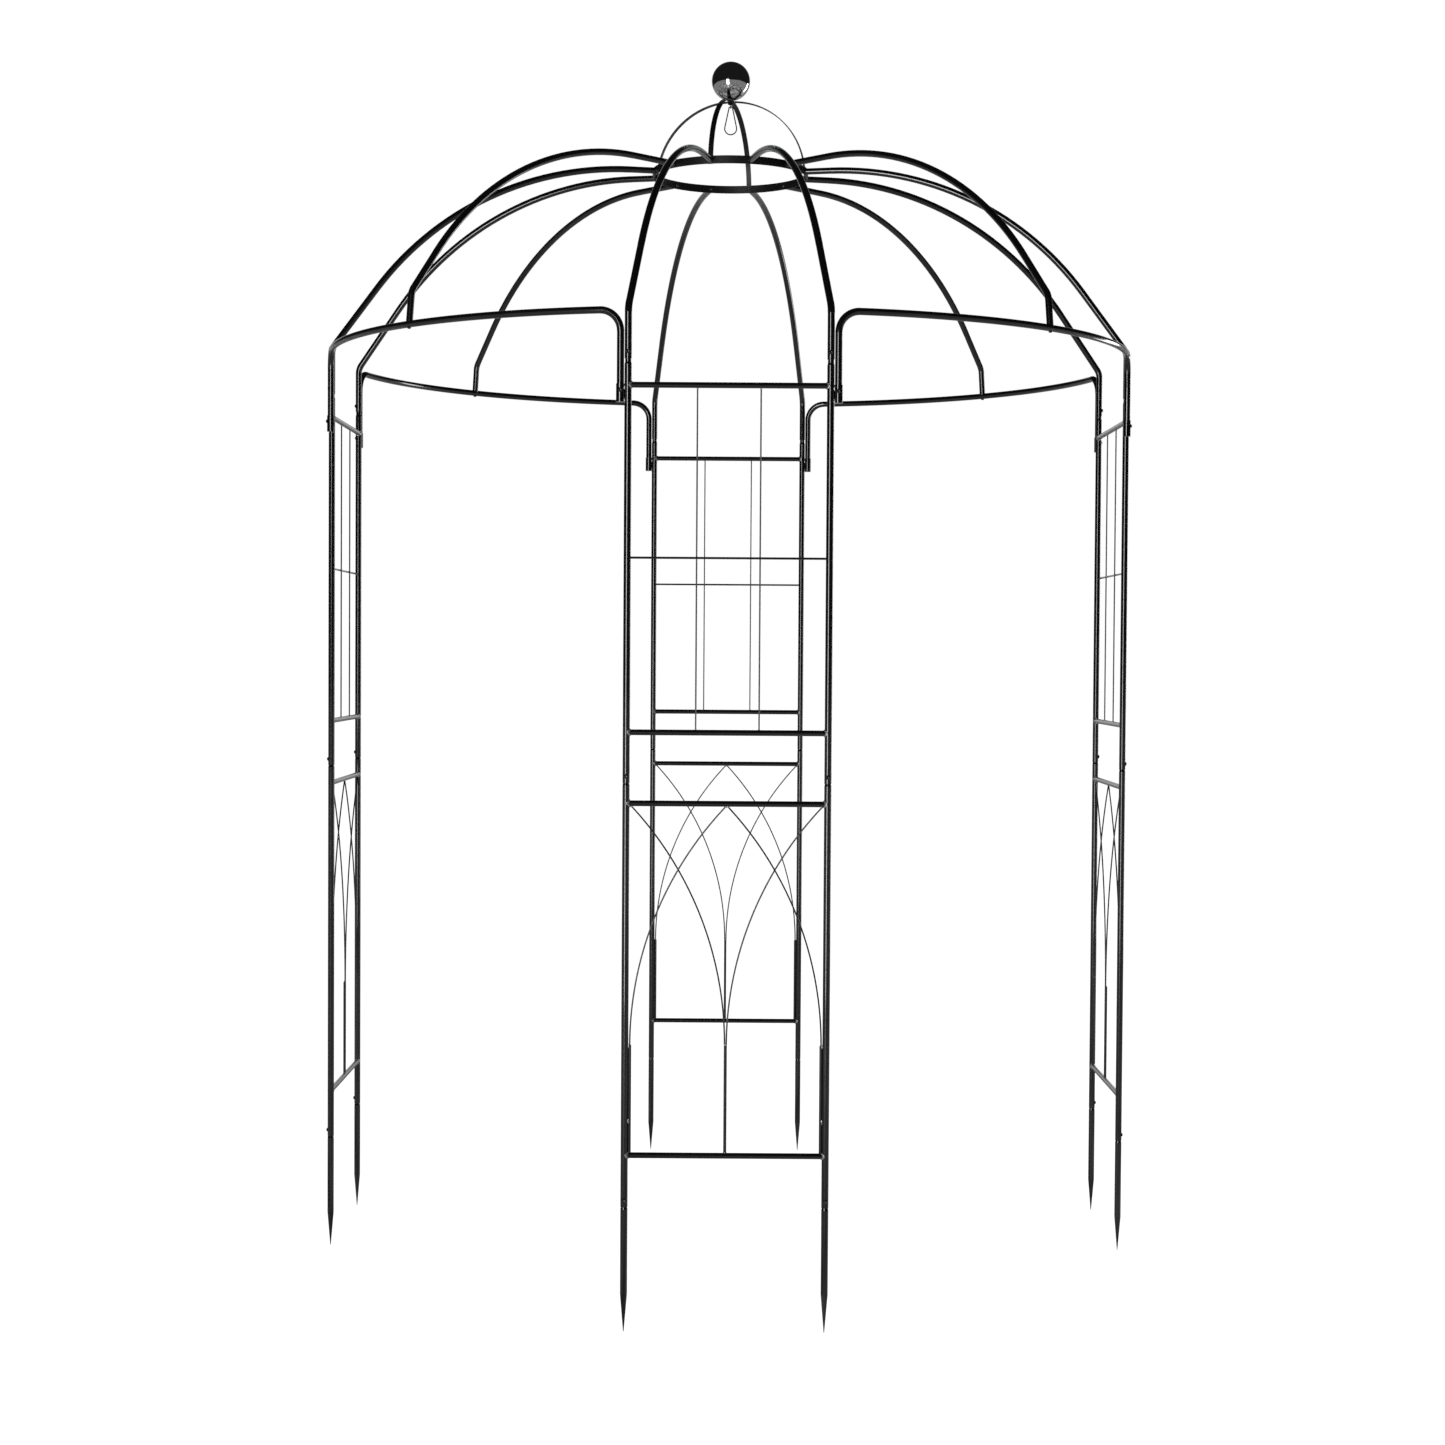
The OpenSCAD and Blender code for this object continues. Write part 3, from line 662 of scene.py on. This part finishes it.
def button_head(head_r, head_h, socket_r, shank_r, shank):
    """A domed head on +z with a hex socket, and its shank down -z."""
    dome_r = (head_r**2 + head_h**2) / (2 * head_h)
    rim = 0.0004
    outline = [(0.0, -shank), (shank_r, -shank), (shank_r, 0.0), (head_r - rim, 0.0), (head_r, rim)]
    for step in range(1, 8):
        out_r = head_r + (socket_r * 1.12 - head_r) * step / 7
        rise = head_h - dome_r + math.sqrt(dome_r**2 - out_r**2)
        outline.append((out_r, max(rise, rim)))
    mouth = outline[-1][1]
    floor_z = mouth - 0.0017
    outline += [(socket_r, mouth - 0.0002), (socket_r * 0.98, floor_z), (0.0, floor_z - 0.0004)]
    head = bmesh.new()
    line = [head.verts.new((r, 0, z)) for r, z in outline]
    for a, b in zip(line, line[1:]):
        head.edges.new((a, b))
    bmesh.ops.spin(head, geom=head.verts[:] + head.edges[:], cent=(0, 0, 0), axis=(0, 0, 1),
                   angle=2 * math.pi, steps=SPIN_STEPS, use_merge=True, use_duplicate=False)
    bmesh.ops.remove_doubles(head, verts=head.verts, dist=1e-7)
    for v in head.verts:
        out_r = v.co.xy.length
        if 0.5 * socket_r < out_r <= socket_r * 1.001 and v.co.z > 0:
            turn = math.atan2(v.co.y, v.co.x) % (math.pi / 3) - math.pi / 6
            v.co.xy *= math.cos(math.pi / 6) / math.cos(turn)
    bmesh.ops.recalc_face_normals(head, faces=head.faces)
    return head


def screw_piece(name, places, head_r, head_h, socket_r, shank_r, shank):
    """One piece of equal screws at the given matrices, standing for the node of that name."""
    whole = bmesh.new()
    for place in places:
        add_part(whole, button_head(head_r, head_h, socket_r, shank_r, shank), place)
    shape = bpy.data.meshes.new(name + "_heads")
    whole.to_mesh(shape)
    whole.free()
    shape.shade_smooth()
    shape.set_sharp_from_angle(angle=math.radians(35))
    piece = add_piece(name + "_heads", shape, screw_black, "pavilion")
    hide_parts(name)
    print(piece.name, len(places), "screws,", len(shape.polygons), "faces")
    return piece


print("screw head:", SPIN_STEPS, "steps")

# %% [markdown]
# ## Where the screws sit
# A screw in an upright points straight out of its panel. The crown bolts come from inside the ring, and
# the arch bolts come up from under each arch into the foot of a mid rib.

# %% Joint screws
HEAD_R, HEAD_H, SOCKET_HEX_R = 0.005, 0.0034, 0.0019
SCREW_R, SCREW_L = 0.0025, 0.010
BOLT_R, CROWN_BOLT_L, ARCH_BOLT_L = 0.003, 0.014, 0.028
OUTWARDS = Matrix.Rotation(math.pi / 2, 4, "X")


def joint_places(x, tube_r, z):
    """Where a screw sits in both uprights of all four panels: its seat, with +z out of the tube."""
    return [on_panel(side) @ Matrix.Translation((hand * x, -tube_r, z)) @ OUTWARDS
            for side in range(4) for hand in (-1, 1)]


JOINT_SCREWS = (
    ("spike_screws", UPRIGHT_X, TUBE_R, 0.294),
    ("panel_screws", UPRIGHT_X, TUBE_R, 1.236),
    ("rib_screws", UPRIGHT_X, TUBE_R, 2.171),
    ("arch_screws", LEG_X, SOCKET_R, 2.086),
)
for name, x, tube_r, z in JOINT_SCREWS:
    screw_piece(name, joint_places(x, tube_r, z), HEAD_R, HEAD_H, SOCKET_HEX_R, SCREW_R, SCREW_L)

# %% Crown and arch bolts
RING_Z = sum(corner.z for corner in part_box("crown_ring")) / 2
RING_BORE_R, HOOP_BORE_R, RING_HALF_H = 0.1995, 0.19685, 0.010
RIB_FAN = 14.75
ring_seat = math.sqrt(RING_BORE_R**2 - HEAD_R**2)
hoop_seat = math.sqrt(HOOP_BORE_R**2 - (RING_HALF_H + HEAD_R) ** 2)
crown_places = []
for side in range(4):
    for turn, seat in ((-RIB_FAN, hoop_seat), (RIB_FAN, ring_seat), (45.0, ring_seat)):
        angle = math.radians(-90 + 90 * side + turn)
        crown_places.append(Matrix.Rotation(angle, 4, "Z") @ Matrix.Translation((seat, 0, RING_Z))
                            @ Matrix.Rotation(-math.pi / 2, 4, "Y"))
screw_piece("crown_bolts", crown_places, HEAD_R, HEAD_H, SOCKET_HEX_R, BOLT_R, CROWN_BOLT_L)

ARCH_R, ARCH_Z, FOOT_LEAN = 1.0448124, 2.263, 5.0
arch_places = [
    Matrix.Rotation(math.radians(90 * side - 45), 4, "Z") @ Matrix.Translation((ARCH_R, 0, ARCH_Z))
    @ Matrix.Rotation(math.pi, 4, "Z") @ Matrix.Rotation(math.radians(FOOT_LEAN), 4, "Y")
    @ Matrix.Translation((0, 0, -TUBE_R)) @ Matrix.Rotation(math.pi, 4, "X")
    for side in range(4)
]
screw_piece("arch_bolts", arch_places, HEAD_R, HEAD_H, SOCKET_HEX_R, BOLT_R, ARCH_BOLT_L)

# %% [markdown]
# ## Mirror ball
# Facets that paint forgives show at once in a mirror, so the ball is made again as a fine sphere.

# %% Mirror ball
ball_low, ball_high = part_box("mirror_ball")
BALL_R = 0.050
ball_centre = Vector((0, 0, (ball_low.z + ball_high.z) / 2))
sphere = bmesh.new()
bmesh.ops.create_uvsphere(sphere, u_segments=192, v_segments=96, radius=BALL_R)
bmesh.ops.translate(sphere, verts=sphere.verts, vec=ball_centre)
bmesh.ops.recalc_face_normals(sphere, faces=sphere.faces)
ball_shape = bpy.data.meshes.new("ball_shell")
sphere.to_mesh(ball_shape)
sphere.free()
ball_shape.shade_smooth()
ball = add_piece("ball_shell", ball_shape, mirror_steel, "pavilion")
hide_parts("mirror_ball")
print("ball:", round(2 * BALL_R * 1000), "mm,", len(ball_shape.polygons), "faces")
